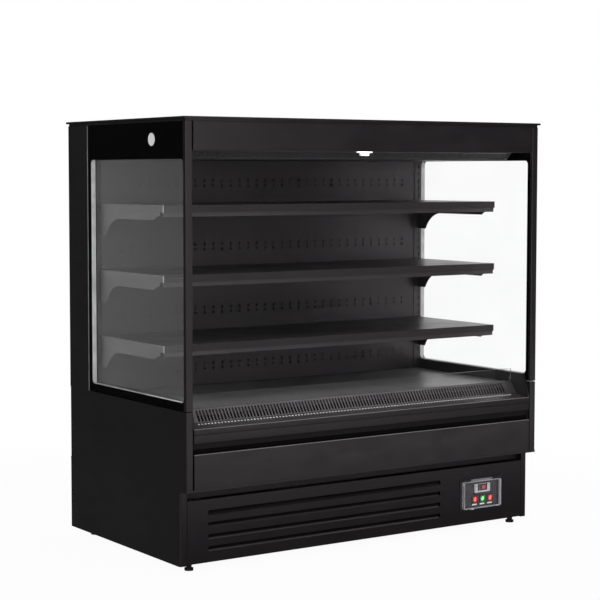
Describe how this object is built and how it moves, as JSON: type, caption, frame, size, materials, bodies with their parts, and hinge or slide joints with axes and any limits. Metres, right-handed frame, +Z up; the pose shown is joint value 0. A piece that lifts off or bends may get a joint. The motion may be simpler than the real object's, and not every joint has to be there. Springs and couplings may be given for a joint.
{
  "type": "open multideck display fridge",
  "caption": "Open-fronted refrigerated display cabinet with shelves, glass side walls, a pull-down night blind and a plug-in cooling unit in its base.",
  "frame": {"origin": "on the floor, under the middle of the cabinet's plan outline", "axes": "+X to the cabinet's right as seen from the front, +Y to the back, +Z up"},
  "size_m": [1.512, 0.837, 1.485],
  "materials": {
    "black_paint": "semi-gloss black powder coat",
    "frame_paint": "matt black paint",
    "interior_paint": "semi-gloss dark grey powder coat",
    "foam": "matt foam",
    "clear_glass": "polished",
    "printed_border": "gloss",
    "spacer_aluminium": "satin",
    "outlet_plastic": "matt",
    "lamp_diffuser": "satin",
    "blind_aluminium": "satin anodised",
    "blind_cloth": "woven",
    "handle_plastic": "satin",
    "bracket_steel": "zinc plated",
    "bumper_plastic": "satin",
    "foot_plastic": "matt",
    "compressor_paint": "gloss",
    "coil_aluminium": "mill finish",
    "fan_plastic": "matt",
    "drain_plastic": "matt",
    "copper": "satin",
    "box_plastic": "matt",
    "station_plastic": "satin",
    "controller_plastic": "satin",
    "clear_plastic": "gloss",
    "red_switch": "gloss",
    "green_switch": "gloss",
    "key_plastic": "satin",
    "bright_fixings": "polished"
  },
  "bodies": {
    "cabinet": {"air_return_grille": "interior_paint", "base_frame": "frame_paint", "base_front_panel": "black_paint", "base_rear_panel": "black_paint", "base_side_panels": "black_paint", "blind_brackets": "bracket_steel", "blind_fabric": "blind_cloth", "body_sill": "black_paint", "canopy_front": "black_paint", "canopy_lamp": "lamp_diffuser", "compressor": "compressor_paint", "condenser": "coil_aluminium", "condenser_fan_shroud": "frame_paint", "control_panel": "station_plastic", "controller": "controller_plastic", "deck_panels": "interior_paint", "deck_riser": "clear_glass", "drain_pipe": "drain_plastic", "drip_tray": "drain_plastic", "duct_panels": "interior_paint", "electrical_box": "box_plastic", "evaporator": "coil_aluminium", "evaporator_fan_panel": "frame_paint", "fasteners": "bright_fixings", "front_bumper": "bumper_plastic", "front_posts": "black_paint", "glass_borders": "printed_border", "glass_spacers": "spacer_aluminium", "honeycomb_outlet": "outlet_plastic", "inner_liner": "interior_paint", "insulation_cores": "foam", "levelling_feet": "foot_plastic", "lower_front_panel": "black_paint", "lower_side_panels": "black_paint", "pipework": "copper", "price_rails": "bumper_plastic", "rear_panel": "black_paint", "rear_side_panels": "black_paint", "roof_cap": "black_paint", "roof_frame": "black_paint", "shelf_bottom": "interior_paint", "shelf_brackets": "interior_paint", "shelf_middle": "interior_paint", "shelf_top": "interior_paint", "shelf_uprights": "interior_paint", "side_glass": "clear_glass"},
    "blind": {"blind_bar": "blind_aluminium", "blind_handle": "handle_plastic"},
    "blind_roller": {"blind_roller": "blind_aluminium"},
    "control_cover": {"control_cover": "clear_plastic"},
    "rocker_left": {"rocker_left": "red_switch"},
    "rocker_middle": {"rocker_middle": "green_switch"},
    "rocker_right": {"rocker_right": "red_switch"},
    "key_set": {"key_set": "key_plastic"},
    "key_lamp": {"key_lamp": "key_plastic"},
    "key_up": {"key_up": "key_plastic"},
    "key_down": {"key_down": "key_plastic"},
    "condenser_fan": {"condenser_fan": "fan_plastic"},
    "evaporator_fan_left": {"evaporator_fan_left": "fan_plastic"},
    "evaporator_fan_right": {"evaporator_fan_right": "fan_plastic"}
  },
  "joints": [
    {"name": "blind_pull", "type": "slide", "parent": "cabinet", "child": "blind", "axis": [0, 0, -1], "range_m": [0, 0.872], "stiffness_N_per_m": 10, "springref_m": -1.4, "deforming": ["blind_fabric"]},
    {"name": "blind_roller_spin", "type": "hinge", "parent": "cabinet", "child": "blind_roller", "pos_m": [0, -0.3345, 1.408], "axis": [1, 0, 0], "range_deg": [0, 2420]},
    {"name": "cover_hinge", "type": "hinge", "parent": "cabinet", "child": "control_cover", "pos_m": [0.526, -0.37405, 0.1843], "axis": [-1, 0, 0], "range_deg": [0, 110]},
    {"name": "rocker_left_tilt", "type": "hinge", "parent": "cabinet", "child": "rocker_left", "pos_m": [0.497, -0.3695, 0.1125], "axis": [-1, 0, 0], "range_deg": [0, 16]},
    {"name": "rocker_middle_tilt", "type": "hinge", "parent": "cabinet", "child": "rocker_middle", "pos_m": [0.533, -0.3695, 0.1125], "axis": [-1, 0, 0], "range_deg": [0, 16]},
    {"name": "rocker_right_tilt", "type": "hinge", "parent": "cabinet", "child": "rocker_right", "pos_m": [0.569, -0.3695, 0.1125], "axis": [-1, 0, 0], "range_deg": [0, 16]},
    {"name": "key_set_press", "type": "slide", "parent": "cabinet", "child": "key_set", "axis": [0, 1, 0], "range_m": [0, 0.0008], "stiffness_N_per_m": 800, "springref_m": -0.0005},
    {"name": "key_lamp_press", "type": "slide", "parent": "cabinet", "child": "key_lamp", "axis": [0, 1, 0], "range_m": [0, 0.0008], "stiffness_N_per_m": 800, "springref_m": -0.0005},
    {"name": "key_up_press", "type": "slide", "parent": "cabinet", "child": "key_up", "axis": [0, 1, 0], "range_m": [0, 0.0008], "stiffness_N_per_m": 800, "springref_m": -0.0005},
    {"name": "key_down_press", "type": "slide", "parent": "cabinet", "child": "key_down", "axis": [0, 1, 0], "range_m": [0, 0.0008], "stiffness_N_per_m": 800, "springref_m": -0.0005},
    {"name": "condenser_fan_spin", "type": "hinge", "parent": "cabinet", "child": "condenser_fan", "pos_m": [-0.17, -0.2765, 0.1295], "axis": [0, 1, 0], "continuous": true},
    {"name": "evaporator_fan_left_spin", "type": "hinge", "parent": "cabinet", "child": "evaporator_fan_left", "pos_m": [-0.3, -0.2495, 0.422], "axis": [0, 1, 0], "continuous": true},
    {"name": "evaporator_fan_right_spin", "type": "hinge", "parent": "cabinet", "child": "evaporator_fan_right", "pos_m": [0.3, -0.2495, 0.422], "axis": [0, 1, 0], "continuous": true}
  ],
  "couplings": [
    {"joint": "blind_roller_spin", "follows": "blind_pull", "rad_per_m": 48.3}
  ]
}
